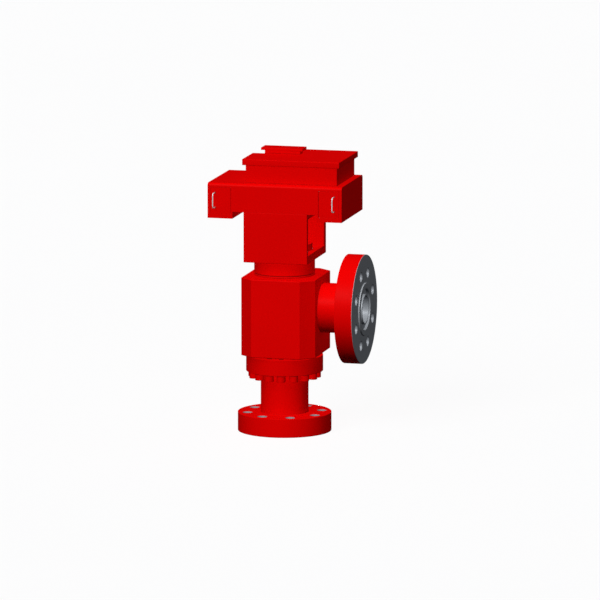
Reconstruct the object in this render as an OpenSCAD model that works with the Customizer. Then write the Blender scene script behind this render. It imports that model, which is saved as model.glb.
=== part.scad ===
// Motor-driven angle choke valve: side inlet, bottom outlet, rising stem.
// Millimetres. +Z is up along the stem, +X points out of the inlet flange,
// +Y points to the back. Origin: centre of the outlet flange's lower face.

/* [Outlet spool] */
// Outlet flange outside diameter
flange_od = 269.7; // [262:0.1:280]
// Outlet flange thickness
flange_t = 54; // [50:0.5:60]
// Outlet bolt circle diameter
outlet_pcd = 215.9; // [212:0.1:218]
// Flange stud hole diameter
stud_hole_d = 28.6; // [26:0.1:30]
// Outlet bore diameter
outlet_bore = 77.8; // [70:0.1:80]
// Outlet neck outside diameter
neck_od = 137.5; // [132:0.5:142]
// Upper ring outside diameter
ring_od = 221.7; // [218:0.1:224]
// Height of the upper ring's lower face
ring_z0 = 174.5; // [170:0.5:178]

/* [Body] */
// Body width on the closed side of the stem axis
body_left = 105.7; // [104:0.1:110]
// Body width on the inlet side of the stem axis
body_right = 112.9; // [110:0.1:120]
// Body half depth
body_half_d = 124; // [120:0.5:128]
// Corner chamfer of the body, along its width
body_chamfer = 38; // [30:0.5:42]
// Corner chamfer of the body, along its depth
body_chamfer_d = 34; // [28:0.5:38]
// Height of the inlet axis
inlet_z = 361; // [358:0.5:362]

/* [Inlet] */
// Inlet flange outside diameter
inlet_od = 314; // [300:1:318]
// Inlet flange thickness
inlet_t = 52; // [46:0.5:58]
// Inlet neck outside diameter
inlet_neck_od = 143; // [136:0.5:148]
// Inlet bore diameter
inlet_bore = 77.8; // [70:0.1:80]
// Diameter of the raised face around the inlet's ring groove
inlet_raised_od = 152.4; // [140:0.1:160]
// Height of the raised face
inlet_raised_h = 3.5; // [2:0.5:5]
// Distance of the inlet face from the stem axis
inlet_face_x = 236; // [230:0.5:240]

/* [Bonnet and yoke] */
// Bonnet outside diameter
bonnet_od = 174.8; // [172:0.1:178]
// Yoke width on the closed side of the stem axis
yoke_left = 91.5; // [90:0.5:96]
// Yoke width on the inlet side of the stem axis
yoke_right = 95.5; // [92:0.5:98]
// Back face of the yoke
yoke_back = 110; // [108:0.5:112]
// Yoke front wall thickness
yoke_wall = 15; // [12:0.5:20]

/* [Drive housing] */
// Half length of the drive housing
drive_half_w = 197.3; // [196:0.1:200]
// Front face of the drive housing
drive_front = -119; // [-122:0.5:-118]
// Back face of the drive housing
drive_back = 136; // [134:0.5:138]
// Edge radius along the top front and top back edges
drive_edge_r = 9; // [6:0.5:9]

/* [Control box] */
// Height of the control box wall
control_h = 60; // [58:0.5:60]
// Overhang of the lid past the box wall
lid_over = 8.5; // [7:0.5:8.5]

/* [Pull handles] */
// Overall height of a handle
handle_h = 46; // [40:1:50]
// Stand-out of a handle from the door
handle_out = 28; // [24:1:30]
// Handle rod diameter
handle_rod = 3.4; // [3.4:0.2:5]

/* [Hidden] */
$fn = 64;
RED = [0.80, 0.02, 0.02];
STEEL = [0.62, 0.63, 0.65];
DARK = [0.25, 0.26, 0.28];
BRONZE = [0.70, 0.50, 0.25];
BLACK = [0.08, 0.08, 0.08];
GREEN = [0.05, 0.35, 0.15];

ring_z1 = 221;          // top of the spool's upper ring
spigot_z1 = 258;        // top of the spool's spigot, under the seat
spigot_r = 68.5;
screw_circle_r = 92;  // spool screws
screw_n = 16;
screw_a0 = 7.75;        // turn of the screw circle
body_z0 = 228;
body_z1 = 454.5;
seat_z1 = 285;
bonnet_z0 = 411;        // lower end of the bonnet's spigot
bonnet_z1 = 503;        // seat of the yoke
yoke_z0 = 503;
floor_z = 527;          // top of the yoke's floor
roof_z = 632;           // underside of the yoke's top plate
window_y1 = 84;         // back of the yoke's window
guide_y = 66;           // guide rod axis
yoke_z1 = 648;
gland_z0 = 528;
gland_z1 = 547;
drive_top = 730;        // top of the drive housing
wheel_teeth = 32;
ear_x = 124;            // inner side of the hanging ends
ear_z = 628;            // underside of the hanging ends
wall = 6;
worm_y = -75;           // worm axis
worm_z = 686;
worm_pitch = 3.5 * PI;
door_axis_x = 131;      // door pivot
door_axis_y = drive_front + 2.5;
door_z0 = 641;
door_z1 = 717;
door_x1 = 188.5;
handle_x = 175.3;
handle_z = 681;
cb_x0 = -91.2;          // control box outline, with one corner left out
cb_x1 = 177;
cb_y0 = -94;
cb_y1 = 119.5;
cb_nx = -56.5;
cb_ny = 15.5;
cb_z0 = drive_top;
cb_z1 = drive_top + control_h;
skirt_z = cb_z1 - 8.5;
lid_z0 = cb_z1 + 3.6;
lid_z1 = lid_z0 + 5;
lid_axis_y = cb_y1 + lid_over + 4.2;
lid_axis_z = skirt_z + 2.5;
hinge_x = [30, 130];

// ---- shared shapes ----
module slab(x0, x1, y0, y1, z0, z1) {
  translate([x0, y0, z0]) cube([x1 - x0, y1 - y0, z1 - z0]);
}
module rod(r, z0, z1) {
  translate([0, 0, z0]) cylinder(r = r, h = z1 - z0);
}
module tube(ro, ri, z0, z1) {
  difference() {
    rod(ro, z0, z1);
    rod(ri, z0 - 1, z1 + 1);
  }
}
module around(n, r, a0 = 0) {
  for (i = [0:n - 1]) rotate([0, 0, a0 + i * 360 / n]) translate([r, 0, 0]) children();
}
// Cap screw pointing up (+Z) from the head's lower face at z0
module cap_screw(hr, hh, sr, z0, len, key) {
  difference() {
    union() {
      rod(hr, z0, z0 + hh);
      rod(sr, z0 + hh - 0.5, z0 + hh + len);
    }
    translate([0, 0, z0 - 1]) cylinder(r = key, h = hh * 0.55 + 1, $fn = 6);
  }
}
// Ring of round section
module o_ring(R, r, z) {
  translate([0, 0, z]) rotate_extrude() translate([R, 0]) circle(r, $fn = 32);
}
function ell(o) = [
  [cb_x0 - o, cb_y0 - o], [cb_x1 + o, cb_y0 - o], [cb_x1 + o, cb_y1 + o],
  [cb_nx - o, cb_y1 + o], [cb_nx - o, cb_ny + o], [cb_x0 - o, cb_ny + o]];
module ell_solid(o, z0, z1) {
  translate([0, 0, z0]) linear_extrude(z1 - z0) polygon(ell(o));
}

// ---- pressure parts ----
module outlet_spool() color(RED) difference() {
  union() {
    rod(flange_od / 2, 0, flange_t);
    rod(neck_od / 2, flange_t - 1, ring_z0 + 1);
    rod(ring_od / 2, ring_z0, ring_z1);
    rod(spigot_r, ring_z1 - 1, spigot_z1);
  }
  rod(outlet_bore / 2, -1, 61);
  rod(44, 60, spigot_z1 + 1);
  tube(58.4, 46, -1, 7.5);
  around(8, outlet_pcd / 2, 22.5) rod(stud_hole_d / 2, -1, flange_t + 1);
  around(screw_n, screw_circle_r, screw_a0) rod(7, ring_z0 - 1, ring_z1 + 1);
  tube(spigot_r + 2, 63.6, 242.3, 247.7);
}

module spool_screws() color(RED)
  around(screw_n, screw_circle_r, screw_a0)
    cap_screw(13, 19.5, 6.5, ring_z0 - 19.5, 83, 7);

module spool_seal() color(BLACK) o_ring(66.2, 2.5, 245);

module wear_sleeve() color(STEEL) tube(43.9, 36, 60, spigot_z1 - 0.2);

module body_block() color(RED) difference() {
  translate([0, 0, body_z0]) linear_extrude(body_z1 - body_z0) polygon([
    [-body_left + body_chamfer, -body_half_d], [body_right - body_chamfer, -body_half_d],
    [body_right, -body_half_d + body_chamfer_d], [body_right, body_half_d - body_chamfer_d],
    [body_right - body_chamfer, body_half_d], [-body_left + body_chamfer, body_half_d],
    [-body_left, body_half_d - body_chamfer_d], [-body_left, -body_half_d + body_chamfer_d]]);
  rod(68.9, body_z0 - 1, spigot_z1);
  rod(60, spigot_z1 - 1, seat_z1);
  rod(52, seat_z1 - 1, bonnet_z0 + 1);
  rod(75, bonnet_z0, body_z1 + 1);
  translate([0, 0, inlet_z]) rotate([0, 90, 0]) cylinder(r = 40, h = body_right + 1);
  around(screw_n, screw_circle_r, screw_a0) rod(6.8, body_z0 - 1, 262);
}

module inlet_flange() color(RED)
  translate([0, 0, inlet_z]) rotate([0, 90, 0]) difference() {
    union() {
      rod(inlet_neck_od / 2, body_right, inlet_face_x - inlet_t + 1);
      rod(inlet_od / 2, inlet_face_x - inlet_t, inlet_face_x);
      rod(inlet_raised_od / 2, inlet_face_x - 1, inlet_face_x + inlet_raised_h);
    }
    rod(inlet_bore / 2, body_right - 1, inlet_face_x + inlet_raised_h + 1);
    tube(59.5, 43.4, inlet_face_x + inlet_raised_h - 7.5, inlet_face_x + inlet_raised_h + 1);
    around(8, outlet_pcd / 2, 22.5)
      rod(stud_hole_d / 2, inlet_face_x - inlet_t - 1, inlet_face_x + 1);
  }

module seat_ring() color(STEEL) difference() {
  rotate_extrude() polygon([
    [25, spigot_z1], [59.7, spigot_z1], [59.7, seat_z1 - 0.2], [31.5, seat_z1 - 0.2],
    [25, seat_z1 - 12.2]]);
  tube(62, 55.2, 268.5, 273.5);
}

module seat_seal() color(BLACK) o_ring(57.6, 2.3, 271);

module choke_gate() color(STEEL) difference() {
  rotate_extrude() polygon([
    [0, 262], [20, 262], [24.4, seat_z1 - 12], [30.9, seat_z1],
    [31, seat_z1 + 1], [31, 424], [30, 425], [0, 425]]);
  rod(14.05, 375, 426);
}

module gate_guide() color(BRONZE) tube(35.9, 31.08, 411.5, 470);

module bonnet() color(RED) difference() {
  union() {
    rod(74.7, bonnet_z0, body_z1 + 1);
    rod(bonnet_od / 2, body_z1, bonnet_z1);
    rod(56, bonnet_z1 - 1, gland_z0);
  }
  rod(36, bonnet_z0 - 1, 478);
  rod(20.4, 477, 493);
  rod(32, 492, gland_z0 + 1);
  tube(80, 69.7, 417.3, 422.7);
  tube(bonnet_od / 2 + 2, bonnet_od / 2 - 2.5, body_z1 + 3.8, body_z1 + 6.8);
  around(8, 74, 22.5) rod(6.2, 476, bonnet_z1 + 1);
  around(6, 46) rod(5.2, 504, gland_z0 + 1);
}

module bonnet_seal() color(BLACK) o_ring(72.3, 2.45, 420);

module packing_rings() color(BLACK)
  for (i = [0:2]) translate([0, 0, 492 + i * 9]) rotate_extrude() polygon([
    [20.08, 0], [31.9, 0], [31.9, 7], [26, 8.9], [20.08, 7]]);

module packing_gland() color(RED) difference() {
  union() {
    rod(31.8, 519.4, gland_z0 + 1);
    rod(80, gland_z0, gland_z1);
  }
  rod(20.5, 519, gland_z1 + 1);
  around(6, 46) rod(5.5, gland_z0 - 1, gland_z1 + 1);
  translate([0, guide_y, 0]) rod(9, gland_z0 - 1, gland_z1 + 1);
}

module gland_screws() color(STEEL)
  around(6, 46) translate([0, 0, 2 * gland_z1]) mirror([0, 0, 1])
    cap_screw(8, 10, 5, gland_z1 - 10, 40, 4.6);

// ---- moving stem ----
module stem() color(STEEL) rotate_extrude() polygon(concat(
  [[0, 375], [14, 375], [14, 425], [20, 425], [20, 600]],
  [for (i = [0:23]) for (p = [[20, 1.6], [17.6, 2.4], [17.6, 4.2], [20, 5]])
    [p[0], 600 + i * 5 + p[1]]],
  [[20, 723], [17.5, 726], [0, 726]]));

module torque_arm() color(DARK) difference() {
  union() {
    rod(34, 562, 580);
    slab(-13, 13, 20, guide_y, 562, 580);
    translate([0, guide_y, 0]) rod(15, 562, 580);
    slab(-14, 14, -46, -20, 562, 580);
  }
  rod(20.05, 561, 581);
  translate([0, guide_y, 0]) rod(8.08, 561, 581);
  slab(-1.2, 1.2, -50, 0, 561, 581);
  translate([-20, -39, 571]) rotate([0, 90, 0]) cylinder(r = 4, h = 40);
}

module clamp_screw() color(STEEL) translate([0, -39, 571]) rotate([0, 90, 0]) {
  rod(3.8, -13.5, 20);
  translate([0, 0, 14]) cylinder(r = 6.5, h = 6, $fn = 6);
  translate([0, 0, -20]) cylinder(r = 6.5, h = 6, $fn = 6);
}

module guide_rod() color(STEEL) translate([0, guide_y, 0]) rod(8, 517.2, 641.8);

// ---- yoke ----
module yoke_frame() color(RED) difference() {
  slab(-yoke_left, yoke_right, drive_front, yoke_back, yoke_z0, yoke_z1);
  slab(-yoke_left - 1, yoke_right + 1, drive_front + yoke_wall, window_y1, floor_z, roof_z);
  rod(56.5, yoke_z0 - 1, floor_z + 1);
  rod(30, roof_z - 1, yoke_z1 + 1);
  around(8, 74, 22.5) {
    rod(6.4, yoke_z0 - 1, floor_z + 1);
    rod(9.4, 515, floor_z + 1);
  }
  translate([0, guide_y, 0]) rod(8.1, 517, 642);
  for (x = [-80, 80], y = [-28, 60]) translate([x, y, 0]) rod(5.2, roof_z + 2, yoke_z1 + 1);
}

module yoke_bolts() color(STEEL)
  around(8, 74, 22.5) translate([0, 0, 2 * 515 + 11.5]) mirror([0, 0, 1])
    cap_screw(9, 11.5, 6, 515, 37, 5);

// ---- drive housing ----
module drive_profile() {
  r = drive_edge_r;
  translate([drive_front, ear_z]) square([drive_back - drive_front, drive_top - r - ear_z]);
  translate([drive_front + r, drive_top - r - 1])
    square([drive_back - drive_front - 2 * r, r + 1]);
  translate([drive_front + r, drive_top - r]) circle(r);
  translate([drive_back - r, drive_top - r]) circle(r);
}

module door_opening(s) {
  x0 = door_axis_x - 2.9;
  translate([s > 0 ? x0 : -door_x1 - 0.4, drive_front - 1, door_z0 - 0.4])
    cube([door_x1 + 0.4 - x0, wall + 2, door_z1 - door_z0 + 0.8]);
  translate([s * door_axis_x, door_axis_y, 0]) rod(1.56, door_z0 - 7, door_z1 + 6);
}

module drive_housing() color(RED) difference() {
  union() {
    difference() {
      rotate([90, 0, 90]) translate([0, 0, -drive_half_w])
        linear_extrude(2 * drive_half_w) drive_profile();
      // clear the underside between the hanging ends
      slab(-ear_x, ear_x, drive_front - 1, drive_back + 1, ear_z - 1, yoke_z1);
      // inside of the middle and of both ends
      slab(-drive_half_w + wall, drive_half_w - wall, drive_front + wall, drive_back - wall,
        yoke_z1 + 8, drive_top - wall);
      slab(-ear_x, ear_x, drive_front + wall, drive_back - wall, yoke_z1 - 1, yoke_z1 + 9);
      for (s = [-1, 1]) slab(s > 0 ? ear_x + wall : -drive_half_w + wall,
        s > 0 ? drive_half_w - wall : -ear_x - wall, drive_front + wall, drive_back - wall,
        ear_z - 1, yoke_z1 + 9);
    }
    // upper bush boss and screw posts
    tube(48, 36.05, 712, drive_top - wall + 1);
    for (x = [-112, 112], y = [-100, 118]) translate([x, y, 0])
      tube(8, 3.1, yoke_z1 + 8, drive_top - wall + 1);
    for (x = [-182, -139, 139, 182]) translate([x, 121, 0])
      tube(7, 2.6, ear_z + 5, drive_top - wall + 1);
  }
  rod(24, 700, drive_top + 1);
  for (s = [-1, 1]) door_opening(s);
  for (p = [[-80, -70], [165, -70], [165, 105], [-45, 105]]) translate([p[0], p[1], 0])
    rod(3.2, drive_top - wall - 1, drive_top + 1);
  for (x = [-60, 60]) translate([x, drive_back + 1, 690]) rotate([90, 0, 0])
    cylinder(r = 10.2, h = wall + 2);
}

module base_plate() color(DARK) difference() {
  union() {
    slab(-ear_x + 0.3, ear_x - 0.3, drive_front + wall + 0.3, drive_back - wall - 0.3,
      yoke_z1, yoke_z1 + 8);
    rod(48, yoke_z1 + 7, 664);
  }
  rod(36.05, yoke_z1 - 1, 665);
  for (x = [-80, 80], y = [-28, 60]) translate([x, y, 0]) rod(5.4, yoke_z1 - 1, yoke_z1 + 9);
  for (x = [-112, 112], y = [-100, 118]) translate([x, y, 0]) {
    rod(3.2, yoke_z1 - 1, yoke_z1 + 9);
    rod(6.2, yoke_z1 - 1, yoke_z1 + 4);
  }
}

module base_bolts() color(STEEL)
  for (x = [-80, 80], y = [-28, 60]) translate([x, y, 2 * (yoke_z1 + 8) + 9]) mirror([0, 0, 1])
    cap_screw(8.5, 9, 5, yoke_z1 + 8, 20, 4.4);

module housing_screws() color(STEEL) {
  for (x = [-112, 112], y = [-100, 118]) translate([x, y, 0])
    cap_screw(6, 3.9, 3, yoke_z1 + 0.1, 24, 2.6);
  for (x = [-182, -139, 139, 182]) translate([x, 121, 0])
    cap_screw(4.4, 2.9, 2.5, ear_z + 0.1, 22, 2);
}

module end_cover(s) color(RED) difference() {
  slab(s > 0 ? ear_x + wall + 0.3 : -drive_half_w + wall + 0.3,
    s > 0 ? drive_half_w - wall - 0.3 : -ear_x - wall - 0.3,
    drive_front + wall + 0.3, drive_back - wall - 0.3, ear_z, ear_z + 5);
  for (x = [139, 182]) translate([s * x, 121, 0]) {
    rod(2.6, ear_z - 1, ear_z + 6);
    rod(4.5, ear_z - 1, ear_z + 3);
  }
}
module left_end_cover() end_cover(-1);
module right_end_cover() end_cover(1);

// Rubber strip bonded in the corner behind the free edge of a door
module door_stop(s) color(BLACK) slab(s > 0 ? 184 : -drive_half_w + wall,
  s > 0 ? drive_half_w - wall : -184, drive_front + wall, drive_front + 10,
  ear_z + 5.3, drive_top - wall);
module left_door_stop() door_stop(-1);
module right_door_stop() door_stop(1);

// ---- worm drive ----
module worm_wheel() color(BRONZE) difference() {
  union() {
    rod(30, 657, 722);
    rod(44, 668.3, 707.7);
    translate([0, 0, worm_z - 13]) linear_extrude(26) polygon([
      for (i = [0:wheel_teeth - 1]) for (p = [[52.5, -4.4], [56, -2.3], [59, -0.5], [59, 0.5], [56, 2.3], [52.5, 4.4]])
        let (a = -90 + i * 360 / wheel_teeth + p[1] / p[0] * 180 / PI)
        [p[0] * cos(a), p[0] * sin(a)]]);
  }
  rod(26, 656, 723);
}

module drive_nut() color(BRONZE) tube(25.95, 20.3, 657, 722);

module lower_bush() color(BRONZE) {
  tube(36, 30.08, 652, 664.5);
  tube(44, 30.08, 664, 668);
}

module upper_bush() color(BRONZE) {
  tube(36, 30.08, 711.5, 723.5);
  tube(44, 30.08, 708, 712);
}

module worm_shaft() color(STEEL) translate([0, worm_y, worm_z]) rotate([0, 90, 0]) {
  rod(10, -178, 178);
  rod(14, -58, -21);
  rod(14, 21, 58);
  linear_extrude(4 * worm_pitch, center = true, twist = -360 * 4, slices = 56)
    translate([0, -3]) circle(18.5, $fn = 14);
}

module worm_bearing(s) color(DARK) difference() {
  union() {
    slab(s > 0 ? 62 : -84, s > 0 ? 84 : -62, worm_y - 22, worm_y + 22, yoke_z1 + 8, worm_z);
    translate([s * 73 - 11, worm_y, worm_z]) rotate([0, 90, 0]) cylinder(r = 22, h = 22);
  }
  translate([s * 73 - 20, worm_y, worm_z]) rotate([0, 90, 0]) cylinder(r = 10.08, h = 40);
}
module left_worm_bearing() worm_bearing(-1);
module right_worm_bearing() worm_bearing(1);

module motor(s) color(BLACK) difference() {
  union() {
    translate([s * 158, worm_y, worm_z]) rotate([0, 90, 0]) {
      rod(33, -24, 24);
      rod(22, -27, 27);
      for (i = [0:5]) rod(34.5, -20 + i * 7, -17 + i * 7);
    }
    slab(s * 158 - 20, s * 158 + 20, worm_y - 28, worm_y + 28, ear_z + 5, ear_z + 32);
  }
  translate([s * 158 - 40, worm_y, worm_z]) rotate([0, 90, 0]) cylinder(r = 10.4, h = 80);
}
module left_motor() motor(-1);
module right_motor() motor(1);

// ---- doors, pins and pull handles ----
module door(s) color(RED) translate([s * door_axis_x, door_axis_y, 0]) difference() {
  union() {
    rod(2.5, door_z0, door_z1);
    slab(s > 0 ? 0 : -(door_x1 - door_axis_x), s > 0 ? door_x1 - door_axis_x : 0,
      -2.5, 2.5, door_z0, door_z1);
  }
  rod(1.52, door_z0 - 1, door_z0 + 8);
  rod(1.52, door_z1 - 8, door_z1 + 1);
  for (z = [-1, 1]) translate([s * (handle_x - door_axis_x), 5,
    handle_z + z * (handle_h - handle_rod) / 2]) rotate([90, 0, 0])
    cylinder(r = 1.7, h = 10);
}
module left_door() door(-1);
module right_door() door(1);

module hinge_pins(s) color(STEEL) translate([s * door_axis_x, door_axis_y, 0]) {
  rod(1.5, door_z0 - 6, door_z0 + 7.5);
  rod(1.5, door_z1 - 7.5, door_z1 + 5);
}
module left_hinge_pins() hinge_pins(-1);
module right_hinge_pins() hinge_pins(1);

// Bent rod with a threaded foot at each end, standing on the door's face
module handle(s) color(STEEL) translate([s * handle_x, drive_front, handle_z]) {
  r = handle_rod / 2;
  b = 8;
  half = (handle_h - handle_rod) / 2;
  translate([0, -handle_out + r, -half + b]) cylinder(r = r, h = 2 * (half - b));
  for (z = [-1, 1]) {
    translate([0, 0, z * half]) rotate([90, 0, 0]) {
      cylinder(r = r, h = handle_out - r - b);
      cylinder(r = 3.2, h = 1.6);
      translate([0, 0, -9]) cylinder(r = 1.65, h = 9.5);
    }
    translate([0, -handle_out + r + b, z * (half - b)])
      rotate([90, 0, 90]) rotate([0, 0, z > 0 ? 90 : 180])
      rotate_extrude(angle = 90) translate([b, 0]) circle(r, $fn = 32);
  }
}
module left_handle() handle(-1);
module right_handle() handle(1);

module handle_nuts(s) color(STEEL)
  for (z = [-1, 1]) translate([s * handle_x, drive_front + 5,
    handle_z + z * (handle_h - handle_rod) / 2]) rotate([-90, 0, 0]) difference() {
      cylinder(r = 3.6, h = 3.2, $fn = 6);
      translate([0, 0, -1]) cylinder(r = 1.7, h = 6);
    }
module left_handle_nuts() handle_nuts(-1);
module right_handle_nuts() handle_nuts(1);

// ---- control box ----
module knuckle(x0, x1, r) {
  translate([x0, lid_axis_y, lid_axis_z]) rotate([0, 90, 0]) cylinder(r = r, h = x1 - x0);
}

module control_box() color(RED) difference() {
  union() {
    difference() {
      ell_solid(0, cb_z0, cb_z1);
      ell_solid(-4, cb_z0 + 4, cb_z1 + 1);
    }
    for (c = hinge_x) {
      slab(c - 12, c + 12, cb_y1 - 1, lid_axis_y + 3, skirt_z - 8, skirt_z - 3);
      slab(c - 12, c + 12, lid_axis_y - 3, lid_axis_y + 3, skirt_z - 4, lid_axis_z);
      knuckle(c - 12, c + 12, 3.5);
    }
  }
  rod(24, cb_z0 - 1, cb_z0 + 5);
  for (p = [[-80, -70], [165, -70], [165, 105], [-45, 105]]) translate([p[0], p[1], 0])
    rod(3.2, cb_z0 - 1, cb_z0 + 5);
  for (c = hinge_x) knuckle(c - 13, c + 13, 1.82);
}

module box_screws() color(STEEL)
  for (p = [[-80, -70], [165, -70], [165, 105], [-45, 105]])
    translate([p[0], p[1], 2 * (cb_z0 + 4) + 4]) mirror([0, 0, 1])
      cap_screw(5, 4, 3, cb_z0 + 4, 9.5, 2.5);

module control_gasket() color(BLACK) difference() {
  ell_solid(0, cb_z1, cb_z1 + 3.3);
  ell_solid(-4, cb_z1 - 1, cb_z1 + 5);
}

module control_lid() color(RED) difference() {
  union() {
    ell_solid(lid_over, lid_z0, lid_z1);
    difference() {
      ell_solid(lid_over, skirt_z, lid_z0 + 1);
      ell_solid(lid_over - 4, skirt_z - 1, lid_z0 + 2);
    }
    for (c = hinge_x, s = [-1, 1]) {
      knuckle(c + (s > 0 ? 12.5 : -26), c + (s > 0 ? 26 : -12.5), 3.5);
      slab(c + (s > 0 ? 12.5 : -26), c + (s > 0 ? 26 : -12.5), cb_y1 + lid_over - 0.5, lid_axis_y,
        lid_axis_z - 2.5, lid_axis_z + 3.5);
    }
  }
  for (c = hinge_x, s = [-1, 1])
    knuckle(c + (s > 0 ? 12 : -26.5), c + (s > 0 ? 26.5 : -12), 1.87);
}

module lid_hinge_pins() color(STEEL) for (c = hinge_x) knuckle(c - 26, c + 26, 1.8);

module control_board() color(GREEN) difference() {
  union() {
    slab(62, 158, -72, 62, cb_z0 + 12, cb_z0 + 14);
    slab(72, 100, -60, -32, cb_z0 + 13, cb_z0 + 20);
    slab(112, 148, -56, -20, cb_z0 + 13, cb_z0 + 26);
    for (i = [0:3]) translate([78 + i * 20, 0, 0]) rod(7, cb_z0 + 13, cb_z0 + 30);
    slab(72, 148, 28, 48, cb_z0 + 13, cb_z0 + 24);
  }
  for (x = [67, 153], y = [-67, 57]) translate([x, y, 0]) rod(1.8, cb_z0 + 11, cb_z0 + 15);
}

module board_standoffs() color(STEEL)
  for (x = [67, 153], y = [-67, 57]) translate([x, y, 0]) {
    rod(3.4, cb_z0 + 4, cb_z0 + 12);
    rod(1.7, cb_z0 + 11.5, cb_z0 + 16);
  }

module terminal_strip() color(BLACK) difference() {
  slab(-84, -50, -60, 6, cb_z0 + 4, cb_z0 + 26);
  for (i = [0:5]) {
    slab(-85, -74, -56 + i * 10, -50 + i * 10, cb_z0 + 14, cb_z0 + 27);
    slab(-60, -49, -56 + i * 10, -50 + i * 10, cb_z0 + 14, cb_z0 + 27);
    translate([-67, -53 + i * 10, 0]) rod(2.5, cb_z0 + 20, cb_z0 + 27);
  }
}

module position_sensor() color(DARK) {
  slab(26, 52, -14, 14, cb_z0 + 4, cb_z0 + 9);
  slab(32, 46, -10, 10, cb_z0 + 8, cb_z0 + 54);
  translate([33, 0, cb_z0 + 46]) rotate([0, -90, 0]) cylinder(r = 5, h = 8);
}

// ---- breather on the lid ----
module breather_box() color(RED) difference() {
  slab(-65, 40, 25, 56, lid_z1, lid_z1 + 10.4);
  slab(-61, 36, 29, 52, lid_z1 - 1, lid_z1 + 11);
  for (i = [0:5]) slab(-48 + i * 13, -40 + i * 13, 50, 58, lid_z1 + 3, lid_z1 + 7);
}

module breather_cap() color(RED) difference() {
  slab(-74, 49, 16, 65, lid_z1 + 10.4, lid_z1 + 17.4);
  slab(-70, 45, 20, 61, lid_z1 + 9, lid_z1 + 11.4);
}

// ---- cable entries at the back ----
module cable_glands() color(STEEL)
  for (x = [-60, 60]) translate([x, drive_back, 690]) rotate([-90, 0, 0]) difference() {
    union() {
      translate([0, 0, -wall - 3]) cylinder(r = 10, h = wall + 4);
      cylinder(r = 15, h = 6, $fn = 6);
      translate([0, 0, 5.5]) cylinder(r = 12, h = 8);
      translate([0, 0, 13]) cylinder(r = 10, h = 4);
    }
    translate([0, 0, -12]) cylinder(r = 5.5, h = 40);
  }

outlet_spool();
spool_screws();
spool_seal();
wear_sleeve();
body_block();
inlet_flange();
seat_ring();
seat_seal();
choke_gate();
gate_guide();
bonnet();
bonnet_seal();
packing_rings();
packing_gland();
gland_screws();
stem();
torque_arm();
clamp_screw();
guide_rod();
yoke_frame();
yoke_bolts();
base_plate();
base_bolts();
drive_housing();
housing_screws();
left_end_cover();
right_end_cover();
left_door_stop();
right_door_stop();
worm_wheel();
drive_nut();
lower_bush();
upper_bush();
worm_shaft();
left_worm_bearing();
right_worm_bearing();
left_motor();
right_motor();
left_door();
right_door();
left_hinge_pins();
right_hinge_pins();
left_handle();
right_handle();
left_handle_nuts();
right_handle_nuts();
control_box();
box_screws();
control_gasket();
control_lid();
lid_hinge_pins();
control_board();
board_standoffs();
terminal_strip();
position_sensor();
breather_box();
breather_cap();
cable_glands();
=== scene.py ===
import math

import bpy
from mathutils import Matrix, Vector

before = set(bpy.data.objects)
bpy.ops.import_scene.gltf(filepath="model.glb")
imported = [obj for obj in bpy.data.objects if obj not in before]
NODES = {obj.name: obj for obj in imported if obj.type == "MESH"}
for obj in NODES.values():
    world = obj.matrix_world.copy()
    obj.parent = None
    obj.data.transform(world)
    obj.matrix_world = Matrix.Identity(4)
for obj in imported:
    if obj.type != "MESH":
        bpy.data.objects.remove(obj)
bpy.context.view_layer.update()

scene = bpy.context.scene


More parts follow.
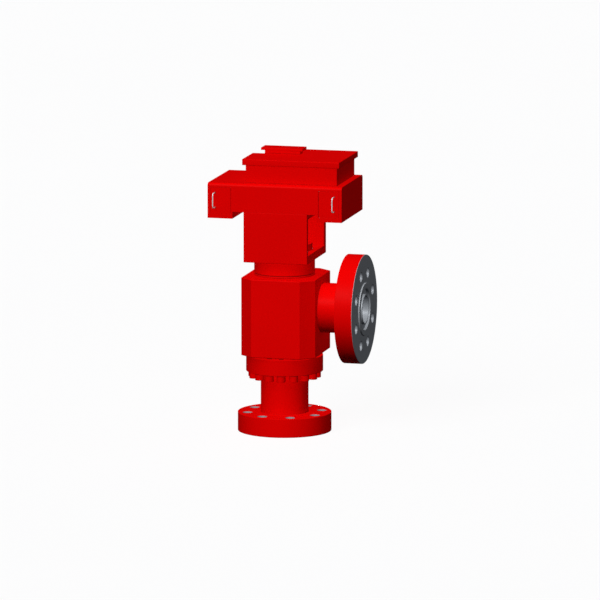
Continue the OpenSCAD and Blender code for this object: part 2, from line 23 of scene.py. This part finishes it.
# ---------------------------------------------------------------- node helpers
class Mat:
    """A node material with short calls for building masks and variation."""

    def __init__(self, name):
        self.m = bpy.data.materials.new(name)
        self.m.use_nodes = True
        self.t = self.m.node_tree
        self.t.nodes.clear()
        self.out = self.t.nodes.new("ShaderNodeOutputMaterial")
        self.b = self.t.nodes.new("ShaderNodeBsdfPrincipled")
        self.t.links.new(self.b.outputs[0], self.out.inputs[0])
        self._co = None

    def node(self, kind, **props):
        n = self.t.nodes.new(kind)
        for k, v in props.items():
            setattr(n, k, v)
        return n

    def put(self, sock, v):
        if isinstance(v, bpy.types.NodeSocket):
            self.t.links.new(v, sock)
        else:
            sock.default_value = v

    def set(self, name, v):
        self.put(self.b.inputs[name], v)

    def math(self, op, a, b=None, c=None, clamp=False):
        n = self.node("ShaderNodeMath", operation=op, use_clamp=clamp)
        for i, v in enumerate((a, b, c)):
            if v is not None:
                self.put(n.inputs[i], v)
        return n.outputs[0]

    def add(self, a, b): return self.math("ADD", a, b)
    def sub(self, a, b): return self.math("SUBTRACT", a, b)
    def mul(self, a, b): return self.math("MULTIPLY", a, b)
    def lo(self, a, b): return self.math("MINIMUM", a, b)
    def hi(self, a, b): return self.math("MAXIMUM", a, b)

    def step(self, v, a, b, x=0.0, y=1.0):
        """Smooth step of v from x at a to y at b."""
        n = self.node("ShaderNodeMapRange", interpolation_type="SMOOTHSTEP", clamp=True)
        self.put(n.inputs["Value"], v)
        for k, w in (("From Min", a), ("From Max", b), ("To Min", x), ("To Max", y)):
            self.put(n.inputs[k], w)
        return n.outputs["Result"]

    def co(self):
        if self._co is None:
            self._co = self.node("ShaderNodeTexCoord").outputs["Object"]
        return self._co

    def xyz(self):
        n = self.node("ShaderNodeSeparateXYZ")
        self.put(n.inputs[0], self.co())
        return n.outputs[0], n.outputs[1], n.outputs[2]

    def scaled(self, s):
        n = self.node("ShaderNodeMapping")
        self.put(n.inputs["Vector"], self.co())
        n.inputs["Scale"].default_value = s
        return n.outputs[0]

    def noise(self, scale, detail=3.0, rough=0.55, vec=None):
        n = self.node("ShaderNodeTexNoise")
        self.put(n.inputs["Vector"], vec if vec is not None else self.co())
        n.inputs["Scale"].default_value = scale
        n.inputs["Detail"].default_value = detail
        n.inputs["Roughness"].default_value = rough
        return n.outputs[0]

    def voronoi(self, scale, feature="F1"):
        n = self.node("ShaderNodeTexVoronoi", feature=feature)
        self.put(n.inputs["Vector"], self.co())
        n.inputs["Scale"].default_value = scale
        return n.outputs["Distance"]

    def mix(self, f, a, b):
        n = self.node("ShaderNodeMix", data_type="RGBA")
        self.put(n.inputs[0], f)
        self.put(n.inputs[6], a if isinstance(a, bpy.types.NodeSocket) else (*a, 1.0))
        self.put(n.inputs[7], b if isinstance(b, bpy.types.NodeSocket) else (*b, 1.0))
        return n.outputs[2]

    def fmix(self, f, a, b):
        n = self.node("ShaderNodeMix", data_type="FLOAT")
        self.put(n.inputs[0], f)
        self.put(n.inputs[2], a)
        self.put(n.inputs[3], b)
        return n.outputs[0]

    def edges(self, radius):
        """0 on flat ground, 1 on a sharp edge."""
        bev = self.node("ShaderNodeBevel", samples=4)
        bev.inputs["Radius"].default_value = radius
        geo = self.node("ShaderNodeNewGeometry")
        dot = self.node("ShaderNodeVectorMath", operation="DOT_PRODUCT")
        self.put(dot.inputs[0], bev.outputs[0])
        self.put(dot.inputs[1], geo.outputs["Normal"])
        return self.step(dot.outputs["Value"], 0.995, 0.86)

    def crevice(self, dist):
        """1 in the open, falling to 0 in a corner."""
        ao = self.node("ShaderNodeAmbientOcclusion", samples=8)
        ao.inputs["Distance"].default_value = dist
        return self.step(ao.outputs["AO"], 0.35, 0.85)

    def bump(self, height, strength, dist):
        n = self.node("ShaderNodeBump")
        n.inputs["Strength"].default_value = strength
        n.inputs["Distance"].default_value = dist
        self.put(n.inputs["Height"], height)
        self.put(self.b.inputs["Normal"], n.outputs[0])


RED = (0.470, 0.0003, 0.0003)
RED_DEEP = (0.445, 0.0003, 0.0003)
# lighter red for edges: partly paint wear, partly a painted highlight
RED_WORN_EDGE_AND_HIGHLIGHT = (0.520, 0.0030, 0.0026)
# dark red laid on as painted shade in corners, grooves and under overhangs
RED_PAINTED_SHADE = (0.185, 0.0016, 0.0014)
# red of the handle feet, darker than the door's as a painted shade
RED_FOOT_PAINT_AND_SHADE = (0.330, 0.0008, 0.0008)


def paint_layers(m):
    """Sprayed enamel: patchy tone, orange peel, lighter edges that are partly paint wear and partly a painted
    highlight, and painted shade in the corners.
    """
    patch = m.step(m.noise(5.0, 4.0), 0.32, 0.68)
    fine = m.noise(60.0, 3.0)
    col = m.mix(patch, RED_DEEP, RED)
    # edges lightened: partly paint wear, partly a painted highlight along the edges
    edge = m.mul(m.edges(0.0022), m.step(fine, 0.30, 0.62, 0.25, 1.0))
    col = m.mix(m.mul(edge, 0.45), col, RED_WORN_EDGE_AND_HIGHLIGHT)
    # painted shade: colour darkened in corners and crevices found by ambient occlusion
    open_air = m.crevice(0.006)
    painted_shade = m.mul(m.sub(1.0, open_air), m.step(fine, 0.25, 0.75, 0.45, 0.9))
    col = m.mix(painted_shade, col, RED_PAINTED_SHADE)
    rough = m.fmix(patch, 0.47, 0.40)
    rough = m.fmix(painted_shade, rough, 0.68)
    peel = m.noise(420.0, 2.0, 0.5)
    return col, rough, peel


def red_paint(name):
    m = Mat(name)
    col, rough, peel = paint_layers(m)
    m.set("Base Color", col)
    m.set("Roughness", rough)
    m.b.inputs["Specular IOR Level"].default_value = 0.008
    m.bump(peel, 0.10, 0.00025)
    return m.m


def bonnet_paint(name):
    """Red enamel, with painted shade darkening the turned groove near the foot."""
    m = Mat(name)
    col, rough, peel = paint_layers(m)
    x, y, z = m.xyz()
    r = m.math("SQRT", m.add(m.mul(x, x), m.mul(y, y)))
    groove = m.lo(m.step(r, 0.0871, 0.0868), m.lo(m.step(z, 0.4575, 0.4582), m.step(z, 0.4620, 0.4613)))
    # painted shade in the groove, broken up by noise
    mottle = m.mul(groove, m.step(m.noise(40.0, 4.0), 0.30, 0.70, 0.65, 0.95))
    m.set("Base Color", m.mix(mottle, col, RED_PAINTED_SHADE))
    m.set("Roughness", m.fmix(mottle, rough, 0.75))
    m.b.inputs["Specular IOR Level"].default_value = 0.008
    m.bump(peel, 0.10, 0.00025)
    return m.m


def screw_paint(name):
    """Red enamel, with a painted shadow darkening the tops of the screw heads under the ring above them."""
    m = Mat(name)
    col, rough, peel = paint_layers(m)
    x, y, z = m.xyz()
    # painted shadow from the ring on the head tops
    painted_shade = m.mul(m.step(z, 0.1702, 0.1732), m.step(m.noise(55.0, 3.0), 0.30, 0.70, 0.60, 0.95))
    m.set("Base Color", m.mix(painted_shade, col, RED_PAINTED_SHADE))
    m.set("Roughness", m.fmix(painted_shade, rough, 0.72))
    m.b.inputs["Specular IOR Level"].default_value = 0.008
    m.bump(peel, 0.10, 0.00025)
    return m.m


def machined(m, radius, bright, dark, pitch):
    """Turned steel: rings of tool marks around an axis, with stains."""
    rings = m.math("SINE", m.mul(radius, 2 * math.pi / pitch))
    wander = m.noise(18.0, 4.0)
    stain = m.step(m.noise(9.0, 5.0), 0.40, 0.72)
    tone = m.fmix(stain, 0.62, 0.40)
    tone = m.add(tone, m.mul(rings, 0.10))
    tone = m.add(tone, m.mul(m.sub(wander, 0.5), 0.30))
    return m.mix(m.math("MINIMUM", m.math("MAXIMUM", tone, 0.0), 1.0), dark, bright), rings, stain


def flange_paint(name, axis):
    """Red enamel on the outside; bare turned steel on the sealing face, in the bore and in the stud holes."""
    m = Mat(name)
    col, rough, peel = paint_layers(m)
    x, y, z = m.xyz()
    if axis == "x":
        u, v, w = y, m.sub(z, 0.361), x
        face = m.step(w, 0.23455, 0.23485)
    else:
        u, v, w = x, y, z
        face = m.step(w, 0.00055, 0.00025)
    r = m.math("SQRT", m.add(m.mul(u, u), m.mul(v, v)))
    # stud holes: fold the angle onto the nearest hole of eight
    ang = m.math("ARCTAN2", v, u)
    fold = m.math("PINGPONG", ang, math.pi / 4)
    fold = m.sub(fold, math.pi / 8)
    d2 = m.sub(m.add(m.mul(r, r), 0.10795 ** 2),
               m.mul(m.mul(r, 2 * 0.10795), m.math("COSINE", fold)))
    if axis == "x":
        hole = m.lo(m.step(d2, 0.0164 ** 2, 0.0161 ** 2), m.step(w, 0.1838, 0.1842))
        bore = m.step(r, 0.0410, 0.0407)
        groove = m.lo(m.step(r, 0.0415, 0.0418), m.lo(m.step(r, 0.0615, 0.0612), m.step(w, 0.2306, 0.2310)))
        tones = ((0.212, 0.227, 0.249), (0.156, 0.167, 0.184)), ((0.225, 0.238, 0.256), (0.138, 0.147, 0.160))
    else:
        hole = m.lo(m.step(d2, 0.01440 ** 2, 0.01428 ** 2), m.step(w, 0.0538, 0.0532))
        bore = m.step(r, 0.0446, 0.0442)
        groove = m.lo(m.step(r, 0.0452, 0.0455), m.lo(m.step(r, 0.0592, 0.0589), m.step(w, 0.0082, 0.0078)))
        tones = ((0.212, 0.227, 0.249), (0.156, 0.167, 0.184)), ((0.24, 0.25, 0.27), (0.15, 0.16, 0.175))
    bare = m.hi(m.hi(face, bore), m.hi(hole, groove))
    # walls of holes, groove and raised face are turned bright; surfaces across the axis keep the dull face tone
    nrm = m.node("ShaderNodeSeparateXYZ")
    m.put(nrm.inputs[0], m.node("ShaderNodeNewGeometry").outputs["Normal"])
    across = m.math("ABSOLUTE", nrm.outputs[0 if axis == "x" else 2])
    wall = m.lo(m.step(across, 0.72, 0.40), m.step(r, 0.150, 0.146))
    face_c, rings, stain = machined(m, r, *tones[0], 0.0011)
    bore_c, _r2, _s2 = machined(m, w, *tones[1], 0.0016)
    if axis == "x":
        # a brighter band at the edge of the raised face: a painted highlight
        rim = m.lo(m.step(r, 0.0735, 0.0745), m.step(r, 0.0785, 0.0775))
        rim_c, _r3, _s3 = machined(m, w, (0.31, 0.325, 0.345), (0.22, 0.23, 0.245), 0.0016)
        bore_c = m.mix(rim, bore_c, rim_c)
    m.set("Base Color", m.mix(bare, col, m.mix(wall, face_c, bore_c)))
    m.set("Metallic", m.mul(bare, 0.16))
    m.set("Roughness", m.fmix(bare, rough, m.fmix(stain, 0.44, 0.56)))
    m.b.inputs["Specular IOR Level"].default_value = 0.008
    m.bump(m.add(m.mul(peel, m.sub(1.0, bare)), m.mul(m.mul(rings, 0.35), bare)), 0.10, 0.00025)
    return m.m


def body_paint(name):
    """Red enamel outside; the machined bores inside the pressure body are bare steel."""
    m = Mat(name)
    col, rough, peel = paint_layers(m)
    x, y, z = m.xyz()
    up = m.math("SQRT", m.add(m.mul(x, x), m.mul(y, y)))
    dz = m.sub(z, 0.361)
    side = m.math("SQRT", m.add(m.mul(y, y), m.mul(dz, dz)))
    bare = m.hi(m.step(up, 0.0764, 0.0760), m.lo(m.step(side, 0.0414, 0.0410), m.step(x, 0.0, 0.01)))
    metal, rings, stain = machined(m, z, (0.40, 0.42, 0.45), (0.22, 0.235, 0.26), 0.0016)
    m.set("Base Color", m.mix(bare, col, metal))
    m.set("Metallic", m.mul(bare, 0.35))
    m.set("Roughness", m.fmix(bare, rough, m.fmix(stain, 0.42, 0.56)))
    m.b.inputs["Specular IOR Level"].default_value = 0.008
    m.bump(m.add(m.mul(peel, m.sub(1.0, bare)), m.mul(m.mul(rings, 0.35), bare)), 0.10, 0.00025)
    return m.m


def steel(name, bright, dark, rough_a, rough_b, grain=(30, 30, 600), metal=0.75, feet=None):
    """Bright drawn or turned steel: fine lines along the work, faint stains, worn edges."""
    m = Mat(name)
    lines = m.noise(1.0, 4.0, 0.6, m.scaled(grain))
    stain = m.step(m.noise(24.0, 5.0), 0.42, 0.75)
    tone = m.add(m.mul(m.sub(lines, 0.5), 0.9), m.fmix(stain, 0.75, 0.45))
    col = m.mix(m.math("MINIMUM", m.math("MAXIMUM", tone, 0.0), 1.0), dark, bright)
    col = m.mix(m.mul(m.edges(0.0010), 0.6), col, tuple(min(1.0, c * 1.25) for c in bright))
    if feet is not None:
        # feet sprayed over together with the door, with a ragged paint line; their red is darker than the door's, a
        # painted shade where the handle meets the door
        ragged = m.mul(m.sub(m.noise(300.0, 3.0), 0.5), 0.003)
        paint = m.step(m.add(m.xyz()[1], ragged), feet - 0.0008, feet + 0.0008)
        col = m.mix(paint, col, RED_FOOT_PAINT_AND_SHADE)
    m.set("Base Color", col)
    m.b.inputs["Metallic"].default_value = metal
    m.set("Roughness", m.fmix(stain, rough_a, rough_b))
    m.bump(lines, 0.06, 0.0002)
    return m.m


def casting(name, a, b, rough, metallic, scale=90.0, strength=0.25):
    """Sand-cast or oxide surface with a pebbly skin."""
    m = Mat(name)
    skin = m.noise(scale, 5.0, 0.65)
    patch = m.step(m.noise(14.0, 4.0), 0.35, 0.7)
    col = m.mix(m.step(skin, 0.3, 0.7), a, b)
    col = m.mix(m.mul(patch, 0.35), col, tuple(c * 0.7 for c in a))
    col = m.mix(m.mul(m.edges(0.0014), 0.5), col, tuple(min(1.0, c * 1.9 + 0.02) for c in b))
    m.set("Base Color", col)
    m.b.inputs["Metallic"].default_value = metallic
    m.set("Roughness", m.fmix(patch, rough, rough * 0.8))
    m.bump(skin, strength, 0.0004)
    return m.m


def bronze(name):
    m = Mat(name)
    tarnish = m.step(m.noise(22.0, 5.0), 0.40, 0.75)
    lines = m.noise(1.0, 4.0, 0.6, m.scaled((40, 40, 500)))
    col = m.mix(tarnish, (0.62, 0.37, 0.13), (0.36, 0.20, 0.07))
    col = m.mix(m.mul(m.edges(0.0012), 0.6), col, (0.78, 0.52, 0.22))
    m.set("Base Color", col)
    m.b.inputs["Metallic"].default_value = 1.0
    m.set("Roughness", m.fmix(tarnish, 0.28, 0.48))
    m.bump(lines, 0.08, 0.0002)
    return m.m


def rubber(name):
    m = Mat(name)
    grain = m.noise(320.0, 3.0)
    mottle = m.step(m.noise(16.0, 4.0), 0.45, 0.8)
    m.set("Base Color", m.mix(m.mul(mottle, 0.5), (0.010, 0.010, 0.011), (0.032, 0.031, 0.030)))
    m.set("Roughness", m.fmix(mottle, 0.62, 0.85))
    m.bump(grain, 0.18, 0.0002)
    return m.m


def circuit_board(name):
    """Green solder mask with copper tracks; the parts standing on it are dark with pale tops."""
    m = Mat(name)
    x, y, z = m.xyz()
    above = m.step(z, 0.74415, 0.74435)
    tracks = m.math("SINE", m.mul(m.add(x, m.mul(m.math("SNAP", y, 0.012), 0.8)), 2 * math.pi / 0.006))
    cross = m.math("SINE", m.mul(m.add(y, m.mul(m.math("SNAP", x, 0.017), 0.6)), 2 * math.pi / 0.009))
    line = m.step(m.hi(tracks, cross), 0.80, 0.90)
    green = m.mix(m.noise(40.0, 3.0), (0.006, 0.085, 0.030), (0.010, 0.120, 0.045))
    board = m.mix(m.mul(line, 0.7), green, (0.055, 0.220, 0.075))
    part = m.mix(m.step(m.noise(70.0, 3.0), 0.4, 0.7), (0.012, 0.012, 0.014), (0.030, 0.030, 0.034))
    cans = m.step(z, 0.7597, 0.7600)
    part = m.mix(cans, part, (0.42, 0.43, 0.45))
    m.set("Base Color", m.mix(above, board, part))
    m.set("Metallic", m.mul(above, m.mul(cans, 0.8)))
    m.set("Roughness", m.fmix(above, 0.32, 0.50))
    m.bump(m.add(line, m.mul(m.noise(240.0, 2.0), 0.4)), 0.12, 0.0001)
    return m.m


def moulding(name, a, b):
    m = Mat(name)
    grain = m.noise(520.0, 2.0)
    flow = m.step(m.noise(11.0, 3.0), 0.35, 0.7)
    col = m.mix(flow, a, b)
    col = m.mix(m.mul(m.edges(0.0008), 0.4), col, tuple(min(1.0, c * 2.0 + 0.02) for c in b))
    m.set("Base Color", col)
    m.set("Roughness", m.fmix(flow, 0.42, 0.55))
    m.bump(grain, 0.10, 0.00012)
    return m.m


RED_MAT = red_paint("red_enamel")
LOOK = {
    "inlet_flange": flange_paint("inlet_enamel_and_steel", "x"),
    "outlet_spool": flange_paint("outlet_enamel_and_steel", "z"),
    "body_block": body_paint("body_enamel_and_steel"),
    "bonnet": bonnet_paint("bonnet_enamel"),
    "spool_screws": screw_paint("screw_enamel"),
}
HANDLE_MAT = steel("handle_steel", (0.56, 0.565, 0.58), (0.44, 0.445, 0.46), 0.42, 0.54, (60, 60, 900), 0.30, -0.127)
BOLT_MAT = steel("bolt_steel", (0.55, 0.56, 0.58), (0.30, 0.31, 0.33), 0.30, 0.46, (500, 500, 500))
STEM_MAT = steel("stem_steel", (0.68, 0.69, 0.71), (0.48, 0.49, 0.51), 0.18, 0.30, (24, 24, 900))
TRIM_MAT = steel("trim_alloy", (0.46, 0.47, 0.49), (0.26, 0.27, 0.29), 0.30, 0.44, (40, 40, 700))
DARK_MAT = casting("dark_casting", (0.045, 0.047, 0.052), (0.090, 0.094, 0.102), 0.60, 0.45)
BRONZE_MAT = bronze("drive_bronze")
RUBBER_MAT = rubber("seal_rubber")
MOTOR_MAT = casting("motor_enamel", (0.010, 0.010, 0.012), (0.020, 0.020, 0.023), 0.42, 0.0, 260.0, 0.12)
BOARD_MAT = circuit_board("circuit_board")
TERMINAL_MAT = moulding("terminal_moulding", (0.060, 0.062, 0.066), (0.085, 0.088, 0.092))
SENSOR_MAT = steel("sensor_case", (0.36, 0.37, 0.39), (0.22, 0.23, 0.25), 0.36, 0.50, (300, 300, 300))
GLAND_MAT = steel("plated_brass", (0.66, 0.63, 0.56), (0.44, 0.42, 0.37), 0.22, 0.36, (300, 300, 300))

for names, mat in (
    ("packing_gland yoke_frame drive_housing left_end_cover right_end_cover "
     "left_door right_door control_box control_lid breather_box breather_cap", RED_MAT),
    ("left_handle right_handle", HANDLE_MAT),
    ("gland_screws yoke_bolts base_bolts housing_screws clamp_screw left_hinge_pins right_hinge_pins "
     "left_handle_nuts right_handle_nuts box_screws lid_hinge_pins board_standoffs", BOLT_MAT),
    ("stem guide_rod worm_shaft", STEM_MAT),
    ("wear_sleeve seat_ring choke_gate", TRIM_MAT),
    ("torque_arm base_plate left_worm_bearing right_worm_bearing", DARK_MAT),
    ("gate_guide worm_wheel drive_nut lower_bush upper_bush", BRONZE_MAT),
    ("spool_seal seat_seal bonnet_seal packing_rings control_gasket left_door_stop right_door_stop", RUBBER_MAT),
    ("left_motor right_motor", MOTOR_MAT),
    ("control_board", BOARD_MAT),
    ("terminal_strip", TERMINAL_MAT),
    ("position_sensor", SENSOR_MAT),
    ("cable_glands", GLAND_MAT),
):
    for n in names.split():
        LOOK[n] = mat

for n, o in NODES.items():
    o.data.materials.clear()
    o.data.materials.append(LOOK[n])

# ---------------------------------------------------------------- rounded edges
ROUND = {
    "outlet_spool": (0.0010, 3), "body_block": (0.0020, 3), "inlet_flange": (0.0010, 3), "bonnet": (0.0008, 2),
    "spool_screws": (0.0010, 2), "packing_gland": (0.0010, 2), "yoke_frame": (0.0014, 2),
    "drive_housing": (0.0003, 2), "left_end_cover": (0.0005, 2), "right_end_cover": (0.0005, 2),
    "left_door": (0.00015, 2), "right_door": (0.00015, 2), "control_box": (0.0007, 2), "control_lid": (0.0014, 2),
    "breather_box": (0.0006, 2), "breather_cap": (0.0008, 2), "gland_screws": (0.0006, 2),
    "yoke_bolts": (0.0006, 2), "base_bolts": (0.0006, 2), "torque_arm": (0.0010, 2), "clamp_screw": (0.0005, 2),
    "base_plate": (0.0006, 2), "cable_glands": (0.0006, 2), "left_motor": (0.0006, 2), "right_motor": (0.0006, 2),
    "control_board": (0.0003, 2), "terminal_strip": (0.0004, 2), "position_sensor": (0.0006, 2),
    "left_worm_bearing": (0.0010, 2), "right_worm_bearing": (0.0010, 2), "worm_wheel": (0.0004, 1),
    "guide_rod": (0.0008, 2), "left_handle_nuts": (0.0003, 1), "right_handle_nuts": (0.0003, 1),
    "box_screws": (0.0003, 1), "wear_sleeve": (0.0005, 1), "seat_ring": (0.0005, 1), "choke_gate": (0.0005, 1),
}
for n, (w, seg) in ROUND.items():
    o = NODES[n]
    weld = o.modifiers.new("weld", "WELD")
    weld.merge_threshold = 1e-6
    bev = o.modifiers.new("edge", "BEVEL")
    bev.limit_method = "ANGLE"
    bev.angle_limit = math.radians(32)
    bev.width = w
    bev.segments = seg
    bev.use_clamp_overlap = False
    bev.miter_outer = "MITER_ARC"
    wn = o.modifiers.new("normals", "WEIGHTED_NORMAL")
    wn.keep_sharp = False
    wn.weight = 60

# ---------------------------------------------------------------- stage
def floor_material():
    m = Mat("pale_floor")
    tone = m.noise(0.8, 3.0)
    m.set("Base Color", m.mix(tone, (0.196, 0.196, 0.198), (0.202, 0.202, 0.204)))
    m.b.inputs["Roughness"].default_value = 0.9
    m.b.inputs["Specular IOR Level"].default_value = 0.0
    m.b.inputs["Emission Color"].default_value = (1.0, 1.0, 1.0, 1.0)
    m.b.inputs["Emission Strength"].default_value = 0.70
    return m.m


mesh = bpy.data.meshes.new("floor")
S = 60.0
mesh.from_pydata([(-S, -S, 0), (S, -S, 0), (S, S, 0), (-S, S, 0)], [], [(0, 1, 2, 3)])
floor = bpy.data.objects.new("floor", mesh)
scene.collection.objects.link(floor)
floor.location.z = -0.0004
floor.data.materials.append(floor_material())
floor.visible_diffuse = False
floor.visible_glossy = False

world = bpy.data.worlds.new("studio")
scene.world = world
world.use_nodes = True
wt = world.node_tree
wt.nodes.clear()
wo = wt.nodes.new("ShaderNodeOutputWorld")
wb = wt.nodes.new("ShaderNodeBackground")
wc = wt.nodes.new("ShaderNodeTexCoord")
ws = wt.nodes.new("ShaderNodeSeparateXYZ")
wr = wt.nodes.new("ShaderNodeMapRange")
wm = wt.nodes.new("ShaderNodeMix")
wm.data_type = "RGBA"
wt.links.new(wc.outputs["Generated"], ws.inputs[0])
wt.links.new(ws.outputs[2], wr.inputs["Value"])
wr.inputs["From Min"].default_value = -1.0
wr.inputs["From Max"].default_value = 0.3
wt.links.new(wr.outputs[0], wm.inputs[0])
wm.inputs[6].default_value = (0.034, 0.034, 0.035, 1.0)
wm.inputs[7].default_value = (0.010, 0.010, 0.011, 1.0)
wt.links.new(wm.outputs[2], wb.inputs["Color"])
wb.inputs["Strength"].default_value = 1.0
wt.links.new(wb.outputs[0], wo.inputs[0])


def sun(name, towards, strength, angle, shadow=True):
    d = bpy.data.lights.new(name, "SUN")
    d.energy = strength
    d.angle = math.radians(angle)
    d.use_shadow = shadow
    o = bpy.data.objects.new(name, d)
    o.rotation_euler = Vector(towards).to_track_quat("Z", "Y").to_euler()
    scene.collection.objects.link(o)
    return o


LEFT = (-0.257, -0.765, 0.591)
RIGHT = (0.361, -0.431, 0.827)
sun("key", LEFT, 0.62, 30)
sun("key_wrap", LEFT, 3.28, 12, shadow=False)
sun("fill_wrap", RIGHT, 2.45, 12, shadow=False)
# lights the side that faces away from the camera
rear = sun("back_wrap", (-0.242, 0.970, 0.0), 3.40, 4, shadow=False)
rear.visible_glossy = False

# ---------------------------------------------------------------- camera
AZ, EL = math.radians(14.0), math.radians(9.7)
MM_PER_PX = 2.88
LENS = 500.0
right = Vector((math.cos(AZ), math.sin(AZ), 0))
back = Vector((math.sin(AZ) * math.cos(EL), -math.cos(AZ) * math.cos(EL), math.sin(EL)))
up = back.cross(right)
target = right * ((300 - 284.67) * MM_PER_PX / 1000) + up * ((429.4 - 300) * MM_PER_PX / 1000)
dist = 600 * MM_PER_PX / 1000 * LENS / 36.0
cam_data = bpy.data.cameras.new("camera")
cam_data.lens = LENS
cam_data.sensor_width = 36.0
cam_data.sensor_fit = "HORIZONTAL"
cam_data.clip_end = 200.0
cam = bpy.data.objects.new("camera", cam_data)
cam.location = target + back * dist
cam.rotation_euler = back.to_track_quat("Z", "Y").to_euler()
scene.collection.objects.link(cam)
scene.camera = cam

scene.view_settings.view_transform = "Standard"
scene.view_settings.look = "None"
